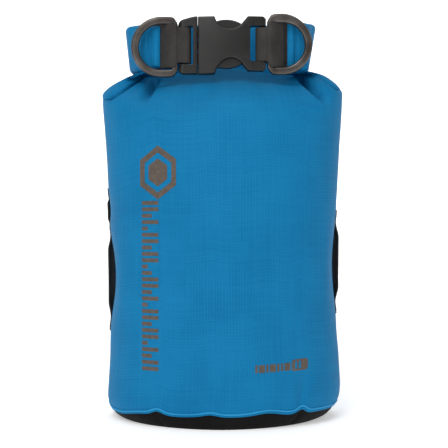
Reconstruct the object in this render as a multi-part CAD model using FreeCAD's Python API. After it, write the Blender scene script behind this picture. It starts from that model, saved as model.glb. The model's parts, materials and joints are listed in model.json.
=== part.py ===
import FreeCAD, Part
import math
import os

# Roll-top dry bag of about three litres, closed: an oval coated-fabric body on a dark base, its
# mouth rolled down into a C-shaped closure whose two arms are joined by a side-release buckle.
# Millimetres. -Y is the front, +X the right seen from the front, +Z up. The origin is on the
# ground under the middle of the base.

os.makedirs("parts", exist_ok=True)

# --- Driving dimensions -------------------------------------------------------------------
# Body: height, half-width, half-depth and setback of the outer oval at each level.
BODY_OVALS = [
    (0.0, 58.5, 45.0, 0.0),
    (1.0, 61.8, 47.8, 0.0),
    (3.5, 64.6, 50.2, 0.0),
    (8.0, 66.8, 51.7, 0.0),
    (18.0, 67.7, 52.3, 0.0),
    (37.0, 67.1, 52.2, 0.0),
    (60.0, 66.1, 52.0, 0.0),
    (90.0, 66.2, 52.0, 0.0),
    (120.0, 66.8, 51.8, 0.0),
    (147.0, 67.8, 51.2, 0.2),
    (165.0, 69.0, 49.6, 0.5),
    (177.0, 69.8, 46.4, 1.0),
    (185.5, 70.0, 41.4, 1.8),
    (190.3, 68.8, 35.6, 2.8),
    (193.4, 66.8, 30.8, 3.6),
    (195.6, 64.2, 26.4, 4.4),
    (197.5, 60.2, 21.6, 5.4),
    (198.6, 56.0, 17.4, 6.4),
]
WALL = 0.9
BASE_RIM_TOP = 7.2
HEM_BOTTOM = 7.4
HEM_HEIGHT = 2.6
HEM_THICKNESS = 0.8
TAPE_THICKNESS = 0.4
BASE_TAPE_BOTTOM = 3.0
BASE_TAPE_TOP = 18.0
BACK_TAPE_TOP = 180.0
TAPE_GAP = 0.1
TAPE_WIDTH = 16.0

# Rolled closure, seen from above: a straight back and two arms that curve to the front.
ROLL_BOTTOM = 199.3
ROLL_TOP = 228.5
ROLL_HALF_THICKNESS = 5.0
ROLL_EDGE_RADIUS = 4.2
BACK_Y = 17.0
CORNER_X = 31.0
CORNER_RADIUS = 19.0
ARM_CENTRE = (27.0, -2.0)
ARM_RADIUS = 23.0
OUTER_WRAP_END = 56.0
INNER_WRAP_END = 65.0
INNER_WRAP_HALF_THICKNESS = 3.4
INNER_WRAP_INSET = 0.6
NECK_HALF_THICKNESS = 3.0
NECK_CLEAR_OF_HINGE = 8.0
NECK_RISE = 3.0
STRIP_HALF_THICKNESS = 0.6
STRIP_HEIGHT = 22.0
STRIP_END = 34.0
STRIP_CLEAR_OF_HINGE = 7.5

# Closure line: the level and depth that the buckle, its straps and its rings share.
CLOSURE_Z = 212.0
CLOSURE_Y = -28.0
CROSSBAR_X = {"left": -20.5, "right": 23.0}
HINGE_OFFSET = 8.0
HINGE_CLEARANCE = 0.35

# Straps.
STRAP_THICKNESS = 1.4
STRAP_WIDTH = 25.0
STRAP_NARROW_WIDTH = 20.4
STRAP_TAPER_LENGTH = 6.0
STRAP_LEAD = 2.6
STRAP_TAIL = 10.0
CROSSBAR_RADIUS = 1.4
CROSSBAR_LOOP_RADIUS = 1.7
BARTACK_LENGTH = 1.8
BARTACK_HEIGHT = 21.0
BARTACK_PROUD = 0.35

# D-rings.
RING_BAR_X = {"left": -26.7, "right": 26.9}
RING_BAR_Y = -28.6
RING_BAR_HALF_WIDTH = 1.6
RING_INNER_HEIGHT = 26.0
RING_STOCK = 3.75
RING_DEPTH = 3.4
RING_REACH = 51.0
RING_CORNER_RADIUS = 4.4
RING_INNER_CORNER_RADIUS = 1.2
RING_CHAMFER = 0.8
RING_LOOP_RADIUS = 2.1

# Side-release buckle, lengths along X and half-heights about the closure line.
SPLIT_X = -14.0
SPLIT_GAP = 0.25
BUCKLE_HALF_HEIGHT = 16.2
SLOT_HALF_HEIGHT = 10.8
PLUG_END_X = -23.9
PLUG_HALF_DEPTH = 3.4
PLUG_STEM = 2.4
PLUG_LEG_RADIUS = 3.0
PLUG_EDGE_RADIUS = 0.8
GUIDE_END_X = 6.0
GUIDE_HALF_HEIGHT = 1.5
TONGUE_HALF_DEPTH = 2.5
SOCKET_END_X = 24.4
SOCKET_HALF_DEPTH = 4.8
SOCKET_LEG_HALF_DEPTH = 4.0
SOCKET_WINDOW_HALF_DEPTH = 3.0
SOCKET_BAND_END_X = -4.0
SOCKET_MOUTH_HALF_HEIGHT = 12.7
SOCKET_WAIST = (3.4, 9.2)
SOCKET_NOTCH = [(-4.4, 16.2), (-3.2, 13.2)]
SOCKET_SHOULDER = [(10.8, 12.0), (14.2, 16.2)]
SOCKET_CORNER = 1.4
SOCKET_EDGE_RADIUS = 0.9
SOCKET_CAVITY_END_X = 13.4
SOCKET_SLOT_START_X = 15.6
PRONG_PIVOT = (-11.0, 7.6)
PRONG_ROOT_RADIUS = 1.8
PRONG_ROOT_CLEARANCE = 0.3
PRONG_CREST = (3.4, 14.3)
PRONG_TIP = [(10.4, 12.2), (11.9, 10.0), (11.6, 7.2), (9.6, 6.2)]
PRONG_ARM_SLOPE = 0.6
PRONG_LATCH = (0.5, 0.7)
PRONG_LATCH_FACE = 2.6

# Side lash strips: webbing sewn flat at its tacks and free between them.
LASH_WIDTH = 20.0
LASH_THICKNESS = 1.4
LASH_STANDOFF = 65.6
LASH_TURN = 11.0
LASH_LEVELS = {
    "left": [(49.0, 55.0, 0.0), (55.0, 107.0, 2.6), (107.0, 112.0, 0.0),
             (112.0, 127.0, 1.2), (127.0, 133.0, 0.0)],
    "right": [(59.0, 65.0, 0.0), (65.0, 114.0, 2.4), (114.0, 120.0, 0.0)],
}
LASH_TACK_WIDTH = 2.4
LASH_TACK_PROUD = 0.5
LASH_TACK_INSET = 1.5

FAR = 400.0
SIDES = {"left": -1.0, "right": 1.0}


# --- Small helpers ------------------------------------------------------------------------
def point(x, y, z=0.0):
    return FreeCAD.Vector(x, y, z)


def block(x0, x1, y0, y1, z0, z1):
    return Part.makeBox(x1 - x0, y1 - y0, z1 - z0, point(x0, y0, z0))


def upright_cylinder(x, y, radius, z0, z1):
    return Part.makeCylinder(radius, z1 - z0, point(x, y, z0))


def outline_face(edges):
    return Part.Face(Part.Wire(Part.__sortEdges__(edges)))


def line(start, end):
    return Part.LineSegment(start, end).toShape()


def arc(start, middle, end):
    return Part.Arc(start, middle, end).toShape()


def mirrored(shape):
    return shape.mirror(point(0, 0, 0), point(1, 0, 0))


def flat_edges(shape, axis, places):
    """Edges that lie wholly at one of the given places along an axis."""
    found = []
    for edge in shape.Edges:
        box = edge.BoundBox
        low = {"y": box.YMin, "z": box.ZMin}[axis]
        high = {"y": box.YMax, "z": box.ZMax}[axis]
        if high - low < 0.01 and min(abs(low - place) for place in places) < 0.01:
            found.append(edge)
    return found


def save(name, shape):
    shape.exportStep("parts/" + name + ".step")
    print(name, "solids", len(shape.Solids), "valid", shape.isValid(),
          "volume", round(shape.Volume, 1))


# --- Bag body -----------------------------------------------------------------------------
def envelope(outset):
    """The body's oval envelope, moved out from the fabric's outer face by outset."""
    rings = []
    for index, (z, half_width, half_depth, setback) in enumerate(BODY_OVALS):
        level = z
        if index == 0:
            level = z - min(outset, 0.0)
        if index == len(BODY_OVALS) - 1:
            level = z + min(outset, 0.0)
        if index == 1 and outset < 0.0:
            level = z - outset
        oval = Part.Ellipse(point(0, setback, level), half_width + outset, half_depth + outset)
        rings.append(Part.Wire(oval.toShape()))
    return Part.makeLoft(rings, True)


def level_slab(z0, z1):
    return block(-FAR, FAR, -FAR, FAR, z0, z1)


OUTSIDE = envelope(0.0)
INSIDE = envelope(-WALL)
LINING = envelope(-WALL - TAPE_THICKNESS)


def body_panel():
    return OUTSIDE.cut(INSIDE).common(level_slab(BASE_RIM_TOP, FAR))


def base_panel():
    return OUTSIDE.cut(INSIDE).common(level_slab(-FAR, BASE_RIM_TOP))


def base_hem():
    band = envelope(HEM_THICKNESS).cut(OUTSIDE)
    return band.common(level_slab(HEM_BOTTOM, HEM_BOTTOM + HEM_HEIGHT))


def base_seam_tape():
    return INSIDE.cut(LINING).common(level_slab(BASE_TAPE_BOTTOM, BASE_TAPE_TOP))


def back_seam_tape():
    strip = block(-TAPE_WIDTH / 2, TAPE_WIDTH / 2, 0, FAR, BASE_TAPE_TOP + TAPE_GAP,
                  BACK_TAPE_TOP)
    return INSIDE.cut(LINING).common(strip)


def lash_profile(side):
    """The strip's outline in its own plane: distance from the fabric against height."""
    levels = LASH_LEVELS[side]
    edges = []
    for z0, z1, bulge in levels:
        for face in (0.0, LASH_THICKNESS):
            start = point(face, 0, z0)
            end = point(face, 0, z1)
            if bulge:
                edges.append(arc(start, point(face + bulge, 0, (z0 + z1) / 2), end))
            else:
                edges.append(line(start, end))
    for z in (levels[0][0], levels[-1][1]):
        edges.append(line(point(0, 0, z), point(LASH_THICKNESS, 0, z)))
    return outline_face(edges)


def place_lash(shape, side):
    """Lay a strip that was made against the plane X=0 on the side of the body."""
    shape.translate(point(LASH_STANDOFF, -LASH_WIDTH / 2, 0))
    shape.rotate(point(0, 0, 0), point(0, 0, 1), LASH_TURN)
    if side == "left":
        shape = mirrored(shape)
    return shape


def lash_strip(side):
    strip = lash_profile(side).extrude(point(0, LASH_WIDTH, 0))
    return place_lash(strip, side).cut(OUTSIDE)


def lash_bartacks(side):
    tacks = []
    for z0, z1, bulge in LASH_LEVELS[side]:
        if not bulge:
            middle = (z0 + z1) / 2
            tacks.append(block(LASH_THICKNESS, LASH_THICKNESS + LASH_TACK_PROUD,
                               LASH_TACK_INSET, LASH_WIDTH - LASH_TACK_INSET,
                               middle - LASH_TACK_WIDTH / 2, middle + LASH_TACK_WIDTH / 2))
    return place_lash(Part.Compound(tacks), side)


# --- Rolled closure -----------------------------------------------------------------------
def polar(centre, radius, degrees):
    angle = math.radians(degrees)
    return point(centre[0] + radius * math.cos(angle), centre[1] + radius * math.sin(angle))


def arm_band(half_thickness, start_x, end_angle):
    """Plan outline of the right arm, from start_x on the back to end_angle short of the front."""
    corner = (CORNER_X, BACK_Y - CORNER_RADIUS)
    edges = []
    starts = []
    ends = []
    for offset in (half_thickness, -half_thickness):
        first = point(start_x, BACK_Y + offset)
        turn = point(CORNER_X, BACK_Y + offset)
        side = polar(corner, CORNER_RADIUS + offset, 0)
        end = polar(ARM_CENTRE, ARM_RADIUS + offset, -end_angle)
        if start_x < CORNER_X:
            edges.append(line(first, turn))
        edges.append(arc(turn, polar(corner, CORNER_RADIUS + offset, 45), side))
        edges.append(arc(side, polar(ARM_CENTRE, ARM_RADIUS + offset, -end_angle / 2), end))
        starts.append(first)
        ends.append(end)
    edges.append(line(starts[0], starts[1]))
    edges.append(line(ends[0], ends[1]))
    return outline_face(edges)


def raised(face, z0, z1, edge_radius=0.0):
    """A plan outline made into a solid between two levels, its long edges rounded."""
    face.translate(point(0, 0, z0))
    solid = face.extrude(point(0, 0, z1 - z0))
    if edge_radius:
        long_edges = [edge for edge in flat_edges(solid, "z", (z0, z1))
                      if edge.Length > 3 * edge_radius]
        solid = solid.makeFillet(edge_radius, long_edges)
    return solid


def hinge_x(side):
    return CROSSBAR_X[side] + SIDES[side] * HINGE_OFFSET


def strip_level():
    middle = (ROLL_BOTTOM + ROLL_TOP) / 2
    return middle - STRIP_HEIGHT / 2, middle + STRIP_HEIGHT / 2


def wing_strip(side):
    solid = raised(arm_band(STRIP_HALF_THICKNESS, CORNER_X, STRIP_END), *strip_level())
    solid = solid.cut(upright_cylinder(abs(hinge_x(side)), BACK_Y, STRIP_CLEAR_OF_HINGE,
                                       ROLL_BOTTOM, ROLL_TOP))
    return mirrored(solid) if side == "left" else solid


def centre_strip():
    return block(hinge_x("left") + STRIP_CLEAR_OF_HINGE, hinge_x("right") - STRIP_CLEAR_OF_HINGE,
                 BACK_Y - STRIP_HALF_THICKNESS, BACK_Y + STRIP_HALF_THICKNESS, *strip_level())


def roll_centre():
    """The back of the closure, with the neck that joins it to the bag."""
    left = hinge_x("left")
    right = hinge_x("right")
    plan = Part.makePlane(right - left, 2 * ROLL_HALF_THICKNESS,
                          point(left, BACK_Y - ROLL_HALF_THICKNESS))
    roll = raised(plan, ROLL_BOTTOM, ROLL_TOP, ROLL_EDGE_RADIUS)
    neck = block(left + NECK_CLEAR_OF_HINGE, right - NECK_CLEAR_OF_HINGE,
                 BACK_Y - NECK_HALF_THICKNESS, BACK_Y + NECK_HALF_THICKNESS,
                 BODY_OVALS[-1][0], ROLL_BOTTOM + NECK_RISE)
    roll = roll.fuse(neck)
    for x in (left, right):
        roll = roll.cut(upright_cylinder(x, BACK_Y, ROLL_HALF_THICKNESS + HINGE_CLEARANCE,
                                         ROLL_BOTTOM - 5, ROLL_TOP + 5))
    return roll.cut(centre_strip()).removeSplitter()


def roll_wing(side):
    """One arm of the closure: its outer wrap, the inner wrap past it and its hinge end."""
    pivot = abs(hinge_x(side))
    start_x = min(pivot, CORNER_X)
    outer = raised(arm_band(ROLL_HALF_THICKNESS, start_x, OUTER_WRAP_END),
                   ROLL_BOTTOM, ROLL_TOP, ROLL_EDGE_RADIUS)
    inner = raised(arm_band(INNER_WRAP_HALF_THICKNESS, CORNER_X, INNER_WRAP_END),
                   ROLL_BOTTOM + INNER_WRAP_INSET, ROLL_TOP - INNER_WRAP_INSET)
    knuckle = upright_cylinder(pivot, BACK_Y, ROLL_HALF_THICKNESS, ROLL_BOTTOM, ROLL_TOP)
    knuckle = knuckle.makeFillet(ROLL_EDGE_RADIUS,
                                 flat_edges(knuckle, "z", (ROLL_BOTTOM, ROLL_TOP)))
    arm = outer.fuse(inner)
    arm = arm.cut(block(-FAR, pivot, -FAR, FAR, 0, FAR)).fuse(knuckle)
    if side == "left":
        arm = mirrored(arm)
    return arm.cut(wing_strip(side)).cut(strap_hull(side)).removeSplitter()


# --- Straps -------------------------------------------------------------------------------
def belt_face(circles):
    """The outline of a belt round circles that are listed anticlockwise, as (x, y, radius)."""
    tangents = []
    count = len(circles)
    for index in range(count):
        x0, y0, r0 = circles[index]
        x1, y1, r1 = circles[(index + 1) % count]
        span = math.hypot(x1 - x0, y1 - y0)
        along = math.atan2(y1 - y0, x1 - x0)
        normal = along - math.acos((r0 - r1) / span)
        tangents.append((normal, (x0, y0, r0), (x1, y1, r1)))
    edges = []
    for index in range(count):
        normal, here, there = tangents[index]
        start = polar(here[:2], here[2], math.degrees(normal))
        end = polar(there[:2], there[2], math.degrees(normal))
        edges.append(line(start, end))
        turn = (tangents[(index + 1) % count][0] - normal) % (2 * math.pi)
        if turn > 0.001:
            middle = polar(there[:2], there[2], math.degrees(normal + turn / 2))
            last = polar(there[:2], there[2], math.degrees(normal + turn))
            edges.append(arc(end, middle, last))
    return outline_face(edges)


def strap_root():
    """Where the two layers of the right strap meet, and the unit vector back into the roll."""
    end = polar(ARM_CENTRE, ARM_RADIUS, -INNER_WRAP_END)
    angle = math.radians(90 - INNER_WRAP_END)
    back = point(math.cos(angle), math.sin(angle))
    return end - back * STRAP_LEAD, back


def strap_circles(side, growth, root_radius):
    """Crossbar, ring bar and root of a strap, as on the right side, in anticlockwise order."""
    root = strap_root()[0]
    return [
        (abs(CROSSBAR_X[side]), CLOSURE_Y, CROSSBAR_LOOP_RADIUS + growth),
        (abs(RING_BAR_X[side]), RING_BAR_Y, RING_LOOP_RADIUS + growth),
        (root.x, root.y, root_radius),
    ]


def strap_tail():
    """Plan outline of the doubled end that is sewn into the roll."""
    root, back = strap_root()
    across = point(-back.y, back.x) * STRAP_THICKNESS
    tip = root + back * STRAP_TAIL
    corners = [root + across, tip + across, tip - across, root - across, root + across]
    return Part.Face(Part.makePolygon(corners))


def strap_height_limit(side):
    """A solid that narrows the strap where it enters the buckle."""
    narrow_end = abs(RING_BAR_X[side]) - 0.6
    wide_start = narrow_end + STRAP_TAPER_LENGTH
    low = STRAP_NARROW_WIDTH / 2
    high = STRAP_WIDTH / 2
    corners = [(0, low), (narrow_end, low), (wide_start, high), (FAR, high),
               (FAR, -high), (wide_start, -high), (narrow_end, -low), (0, -low), (0, low)]
    face = Part.Face(Part.makePolygon([point(x, -FAR, CLOSURE_Z + z) for x, z in corners]))
    return face.extrude(point(0, 2 * FAR, 0))


def strap_levels():
    return CLOSURE_Z - STRAP_WIDTH / 2, CLOSURE_Z + STRAP_WIDTH / 2


def strap_hull(side):
    """The strap with its loop filled in."""
    loop = raised(belt_face(strap_circles(side, STRAP_THICKNESS, STRAP_THICKNESS)),
                  *strap_levels())
    hull = loop.fuse(raised(strap_tail(), *strap_levels())).common(strap_height_limit(side))
    return mirrored(hull) if side == "left" else hull


def strap(side):
    inner = raised(belt_face(strap_circles(side, 0.0, 0.05)), *strap_levels())
    if side == "left":
        inner = mirrored(inner)
    return strap_hull(side).cut(inner).cut(strap_bartack(side)).removeSplitter()


def strap_bartack(side):
    """Dense stitching through both layers just outside the roll."""
    root, back = strap_root()
    half = STRAP_THICKNESS + BARTACK_PROUD
    tack = block(-BARTACK_LENGTH / 2, BARTACK_LENGTH / 2, -half, half,
                 CLOSURE_Z - BARTACK_HEIGHT / 2, CLOSURE_Z + BARTACK_HEIGHT / 2)
    tack.rotate(point(0, 0, 0), point(0, 0, 1), math.degrees(math.atan2(back.y, back.x)))
    tack.translate(root + back * (BARTACK_LENGTH / 2))
    return mirrored(tack) if side == "left" else tack


# --- D-rings ------------------------------------------------------------------------------
def d_face(bar_x, half_height, reach, corner_radius):
    """A D in the XZ plane: its straight side at bar_x, its bow reaching out to reach."""
    bow_x = reach - half_height
    top = half_height
    edges = [
        line(point(bar_x + corner_radius, 0, top), point(bow_x, 0, top)),
        arc(point(bow_x, 0, top), point(reach, 0, 0), point(bow_x, 0, -top)),
        line(point(bow_x, 0, -top), point(bar_x + corner_radius, 0, -top)),
        line(point(bar_x, 0, corner_radius - top), point(bar_x, 0, top - corner_radius)),
    ]
    bend = corner_radius * (1 - math.sqrt(0.5))
    for sign in (1, -1):
        edges.append(arc(point(bar_x + corner_radius, 0, sign * top),
                         point(bar_x + bend, 0, sign * (top - bend)),
                         point(bar_x, 0, sign * (top - corner_radius))))
    return outline_face(edges)


def d_ring(side):
    bar_x = abs(RING_BAR_X[side])
    inner_half = RING_INNER_HEIGHT / 2
    outer = d_face(bar_x - RING_BAR_HALF_WIDTH, inner_half + RING_STOCK, RING_REACH,
                   RING_CORNER_RADIUS)
    inner = d_face(bar_x + RING_BAR_HALF_WIDTH, inner_half, RING_REACH - RING_STOCK,
                   RING_INNER_CORNER_RADIUS)
    ring = outer.cut(inner).extrude(point(0, RING_DEPTH, 0))
    ring = ring.makeChamfer(RING_CHAMFER, flat_edges(ring, "y", (0.0, RING_DEPTH)))
    ring.translate(point(0, RING_BAR_Y - RING_DEPTH / 2, CLOSURE_Z))
    return mirrored(ring) if side == "left" else ring


# --- Side-release buckle ------------------------------------------------------------------
def buckle_block(x0, x1, half_height, half_depth):
    return block(x0, x1, CLOSURE_Y - half_depth, CLOSURE_Y + half_depth,
                 CLOSURE_Z - half_height, CLOSURE_Z + half_height)


def crossbar(side):
    return upright_cylinder(CROSSBAR_X[side], CLOSURE_Y, CROSSBAR_RADIUS,
                            CLOSURE_Z - SLOT_HALF_HEIGHT - 1.0, CLOSURE_Z + SLOT_HALF_HEIGHT + 1.0)


def prong_knuckle(sign, radius):
    """A cylinder along the depth, at the root about which a prong flexes."""
    x, z = PRONG_PIVOT
    return Part.makeCylinder(radius, 2 * TONGUE_HALF_DEPTH,
                             point(x, CLOSURE_Y - TONGUE_HALF_DEPTH, CLOSURE_Z + sign * z),
                             point(0, 1, 0))


def buckle_plug():
    """The male half: strap frame with its crossbar, centre guide and the prongs' roots."""
    frame = buckle_block(PLUG_END_X, SPLIT_X, BUCKLE_HALF_HEIGHT, PLUG_HALF_DEPTH)
    corner_edges = [edge for edge in frame.Edges if edge.BoundBox.XMax < PLUG_END_X + 0.01]
    frame = frame.makeFillet(PLUG_LEG_RADIUS, corner_edges)
    faces = (CLOSURE_Y - PLUG_HALF_DEPTH, CLOSURE_Y + PLUG_HALF_DEPTH)
    frame = frame.makeFillet(PLUG_EDGE_RADIUS, flat_edges(frame, "y", faces))
    slot = buckle_block(PLUG_END_X - 5, SPLIT_X - PLUG_STEM, SLOT_HALF_HEIGHT, FAR)
    frame = frame.cut(slot).fuse(crossbar("left"))
    guide = buckle_block(SPLIT_X - 1, GUIDE_END_X, GUIDE_HALF_HEIGHT, TONGUE_HALF_DEPTH)
    plug = frame.fuse(guide)
    pivot_x, pivot_z = PRONG_PIVOT
    for sign in (1, -1):
        root = block(SPLIT_X - 1, pivot_x - 0.4, CLOSURE_Y - TONGUE_HALF_DEPTH,
                     CLOSURE_Y + TONGUE_HALF_DEPTH,
                     CLOSURE_Z + sign * pivot_z - 2.4, CLOSURE_Z + sign * pivot_z + 2.4)
        plug = plug.fuse(root)
        plug = plug.cut(prong_knuckle(sign, PRONG_ROOT_RADIUS + PRONG_ROOT_CLEARANCE))
    return plug.removeSplitter()


def prong_face():
    """Front view of the upper prong, about the closure line: arm, latch shoulder and thumb lobe."""
    pivot_x, pivot_z = PRONG_PIVOT
    shoulder_x = SOCKET_BAND_END_X + PRONG_LATCH[0]
    shoulder_z = SOCKET_MOUTH_HALF_HEIGHT + PRONG_LATCH[1]
    arm_low = pivot_z - PRONG_ROOT_RADIUS
    arm_high = pivot_z + PRONG_ROOT_RADIUS
    corners = [(pivot_x, arm_low), (pivot_x, arm_high),
               (shoulder_x - 1.0, arm_high + PRONG_ARM_SLOPE),
               (shoulder_x, shoulder_z - PRONG_LATCH_FACE), (shoulder_x, shoulder_z)]
    edges = [line(point(a, 0, b), point(c, 0, d))
             for (a, b), (c, d) in zip(corners, corners[1:])]
    edges.append(arc(point(shoulder_x, 0, shoulder_z), point(PRONG_CREST[0], 0, PRONG_CREST[1]),
                     point(PRONG_TIP[0][0], 0, PRONG_TIP[0][1])))
    rest = PRONG_TIP + [(2.0, arm_low + 1.6), corners[0]]
    edges += [line(point(a, 0, b), point(c, 0, d)) for (a, b), (c, d) in zip(rest, rest[1:])]
    return outline_face(edges)


def buckle_prong(sign):
    face = prong_face()
    prong = face.extrude(point(0, 2 * TONGUE_HALF_DEPTH, 0))
    if sign < 0:
        prong = prong.mirror(point(0, 0, 0), point(0, 0, 1))
    prong.translate(point(0, CLOSURE_Y - TONGUE_HALF_DEPTH, CLOSURE_Z))
    return prong.fuse(prong_knuckle(sign, PRONG_ROOT_RADIUS)).removeSplitter()


def socket_outline():
    """Front view of the socket: band, thumb cut-outs and the legs that hold the crossbar."""
    mouth_x = SPLIT_X + SPLIT_GAP
    edges = []
    for sign in (1, -1):
        notch = [point(x, 0, sign * z) for x, z in SOCKET_NOTCH]
        waist = point(SOCKET_WAIST[0], 0, sign * SOCKET_WAIST[1])
        shoulder = [point(x, 0, sign * z) for x, z in SOCKET_SHOULDER]
        stops = [point(mouth_x, 0, 0), point(mouth_x, 0, sign * BUCKLE_HALF_HEIGHT)] + notch
        rest = shoulder + [
            point(SOCKET_END_X - SOCKET_CORNER, 0, sign * BUCKLE_HALF_HEIGHT),
            point(SOCKET_END_X, 0, sign * (BUCKLE_HALF_HEIGHT - SOCKET_CORNER)),
            point(SOCKET_END_X, 0, 0)]
        edges += [line(a, b) for a, b in zip(stops, stops[1:])]
        edges.append(arc(notch[-1], waist, shoulder[0]))
        edges += [line(a, b) for a, b in zip(rest, rest[1:])]
    return outline_face(edges)


def buckle_socket():
    """The female half: a flat sleeve, open at the mouth and at both thumb cut-outs."""
    shell = socket_outline().extrude(point(0, 2 * SOCKET_HALF_DEPTH, 0))
    shell.translate(point(0, CLOSURE_Y - SOCKET_HALF_DEPTH, CLOSURE_Z))
    faces = (CLOSURE_Y - SOCKET_HALF_DEPTH, CLOSURE_Y + SOCKET_HALF_DEPTH)
    shell = shell.makeFillet(SOCKET_EDGE_RADIUS, flat_edges(shell, "y", faces))
    mouth = buckle_block(SPLIT_X - 5, SOCKET_BAND_END_X + 1, SOCKET_MOUTH_HALF_HEIGHT,
                         SOCKET_WINDOW_HALF_DEPTH)
    window = buckle_block(SOCKET_BAND_END_X, SOCKET_CAVITY_END_X, FAR / 2,
                          SOCKET_WINDOW_HALF_DEPTH)
    slot = buckle_block(SOCKET_SLOT_START_X, SOCKET_END_X + 5, SLOT_HALF_HEIGHT, FAR)
    for side in (-1, 1):
        y0, y1 = sorted((CLOSURE_Y + side * SOCKET_LEG_HALF_DEPTH, CLOSURE_Y + side * FAR))
        shell = shell.cut(block(SOCKET_SLOT_START_X + 1.5, FAR, y0, y1, 0, FAR))
    socket = shell.cut(mouth).cut(window).cut(slot).fuse(crossbar("right"))
    return socket.removeSplitter()


# --- Every sub-part, each in its own file ----------------------------------------------------
def main():
    save("body_panel", body_panel())
    save("base_panel", base_panel())
    save("base_hem", base_hem())
    save("base_seam_tape", base_seam_tape())
    save("back_seam_tape", back_seam_tape())
    save("roll_centre", roll_centre())
    save("closure_strip_centre", centre_strip())
    for side in SIDES:
        save("roll_" + side, roll_wing(side))
        save("closure_strip_" + side, wing_strip(side))
        save("strap_" + side, strap(side))
        save("strap_bartack_" + side, strap_bartack(side))
        save("d_ring_" + side, d_ring(side))
        save("lash_strip_" + side, lash_strip(side))
        save("lash_bartacks_" + side, lash_bartacks(side))
    save("buckle_plug", buckle_plug())
    save("buckle_prong_upper", buckle_prong(1))
    save("buckle_prong_lower", buckle_prong(-1))
    save("buckle_socket", buckle_socket())


main()
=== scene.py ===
import bpy
import json
import math
from dataclasses import dataclass
import numpy as np
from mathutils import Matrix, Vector, noise
from mathutils.bvhtree import BVHTree


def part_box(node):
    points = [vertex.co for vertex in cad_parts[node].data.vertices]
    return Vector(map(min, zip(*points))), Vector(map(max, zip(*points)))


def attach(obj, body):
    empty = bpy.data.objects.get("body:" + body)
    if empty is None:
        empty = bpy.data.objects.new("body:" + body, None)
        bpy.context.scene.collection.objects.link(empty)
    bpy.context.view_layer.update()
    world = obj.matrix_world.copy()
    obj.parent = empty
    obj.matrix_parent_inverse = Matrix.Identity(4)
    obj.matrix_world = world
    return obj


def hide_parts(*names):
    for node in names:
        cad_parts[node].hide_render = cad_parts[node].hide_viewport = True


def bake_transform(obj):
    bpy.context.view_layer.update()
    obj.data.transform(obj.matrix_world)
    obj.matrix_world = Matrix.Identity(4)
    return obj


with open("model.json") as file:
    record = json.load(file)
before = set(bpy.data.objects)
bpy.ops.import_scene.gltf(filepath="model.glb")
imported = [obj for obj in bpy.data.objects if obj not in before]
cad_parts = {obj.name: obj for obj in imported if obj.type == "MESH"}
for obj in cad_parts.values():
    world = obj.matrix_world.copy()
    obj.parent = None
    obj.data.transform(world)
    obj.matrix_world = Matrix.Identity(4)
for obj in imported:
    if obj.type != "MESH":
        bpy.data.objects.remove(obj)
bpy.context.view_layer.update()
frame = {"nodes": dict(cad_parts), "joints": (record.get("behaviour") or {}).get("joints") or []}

# A closed roll-top dry bag. Shapes are worked out in millimetres and scaled to metres when a
# mesh is made. The closure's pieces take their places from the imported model's boxes.
MM = 0.001
SIDES = {"left": -1.0, "right": 1.0}


def box_mm(node):
    low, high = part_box(node)
    return np.array(low) / MM, np.array(high) / MM


ROLL_LOW, ROLL_HIGH = box_mm("roll_centre")
ROLL_TOP = ROLL_HIGH[2]
ROLL_BOTTOM = box_mm("roll_left")[0][2]
BACK_Y = (ROLL_LOW[1] + ROLL_HIGH[1]) / 2
BUCKLE_LOW, BUCKLE_HIGH = box_mm("buckle_socket")
CLOSURE_Z = (BUCKLE_LOW[2] + BUCKLE_HIGH[2]) / 2
JOINTS = {joint["name"]: joint for joint in frame["joints"]}

# The bag's outer oval: level, half-width, half-depth, setback, sideways drift. The last one is
# where the neck takes over.
OVALS = [
    (0.0, 58.4, 49.4, 0.0, -0.9),
    (1.0, 60.9, 50.2, 0.0, -0.8),
    (2.4, 62.6, 50.7, 0.0, -0.6),
    (4.2, 64.0, 51.2, 0.0, -0.4),
    (6.2, 65.2, 51.6, 0.0, -0.1),
    (8.5, 66.5, 52.0, 0.0, 0.2),
    (12.0, 67.7, 52.3, 0.0, 0.6),
    (17.0, 67.9, 52.4, 0.0, 1.0),
    (24.0, 67.6, 52.4, 0.0, 1.2),
    (36.0, 67.0, 52.2, 0.0, 1.15),
    (52.0, 66.3, 52.0, 0.0, 0.7),
    (80.0, 66.1, 52.0, 0.0, 0.35),
    (120.0, 66.7, 51.9, 0.0, 0.2),
    (147.0, 67.9, 51.4, 0.1, 0.2),
    (163.0, 68.9, 50.6, 0.2, 0.1),
    (177.0, 70.0, 49.1, 0.4, 0.0),
    (185.0, 70.4, 47.4, 0.8, 0.0),
    (190.0, 70.4, 46.2, 1.0, 0.0),
]
# Closure line in plan, as in the CAD: a straight back and arms made of two arcs.
CORNER_X = 31.0
CORNER_RADIUS = 19.0
ARM_CENTRE = (27.0, -2.0)
ARM_RADIUS = 23.0
# Where each layer of the roll ends on the arm, in degrees.
INNER_WRAP_END = 65.0
OUTER_WRAP_END = 56.0
CORE_END = {"left": 72.0, "right": 67.0}
ROLL_HALF_THICKNESS = 5.0
ROLL_MIDDLE = 213.0
ROLL_HEIGHT = 29.0
TIP_ROUND = 1.6
# How far the roll widens over its height, how far it is drawn in, and how far it drops in front.
ROLL_LEAN = {"left": (0.062, 0.019), "right": (0.086, 0.026)}
ROLL_DROP = {"left": -4.2, "right": -2.6}
STRAP_WIDTH = 25.0
STRAP_THICKNESS = 1.34
# How far each strap's fold passes its crossbar.
FOLD_REACH = {"left": 2.9, "right": 4.4}
# Half the space between the strap's two layers, in the roll and at the crossbar.
PLY_OFFSET = 0.74
FOLD_OFFSET = 2.45
# Each strap's width at the buckle and at the roll, and how far up it sits.
STRAP_WIDTHS = {"left": (20.0, 25.0, 0.0), "right": (19.0, 25.4, 0.5)}
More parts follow.
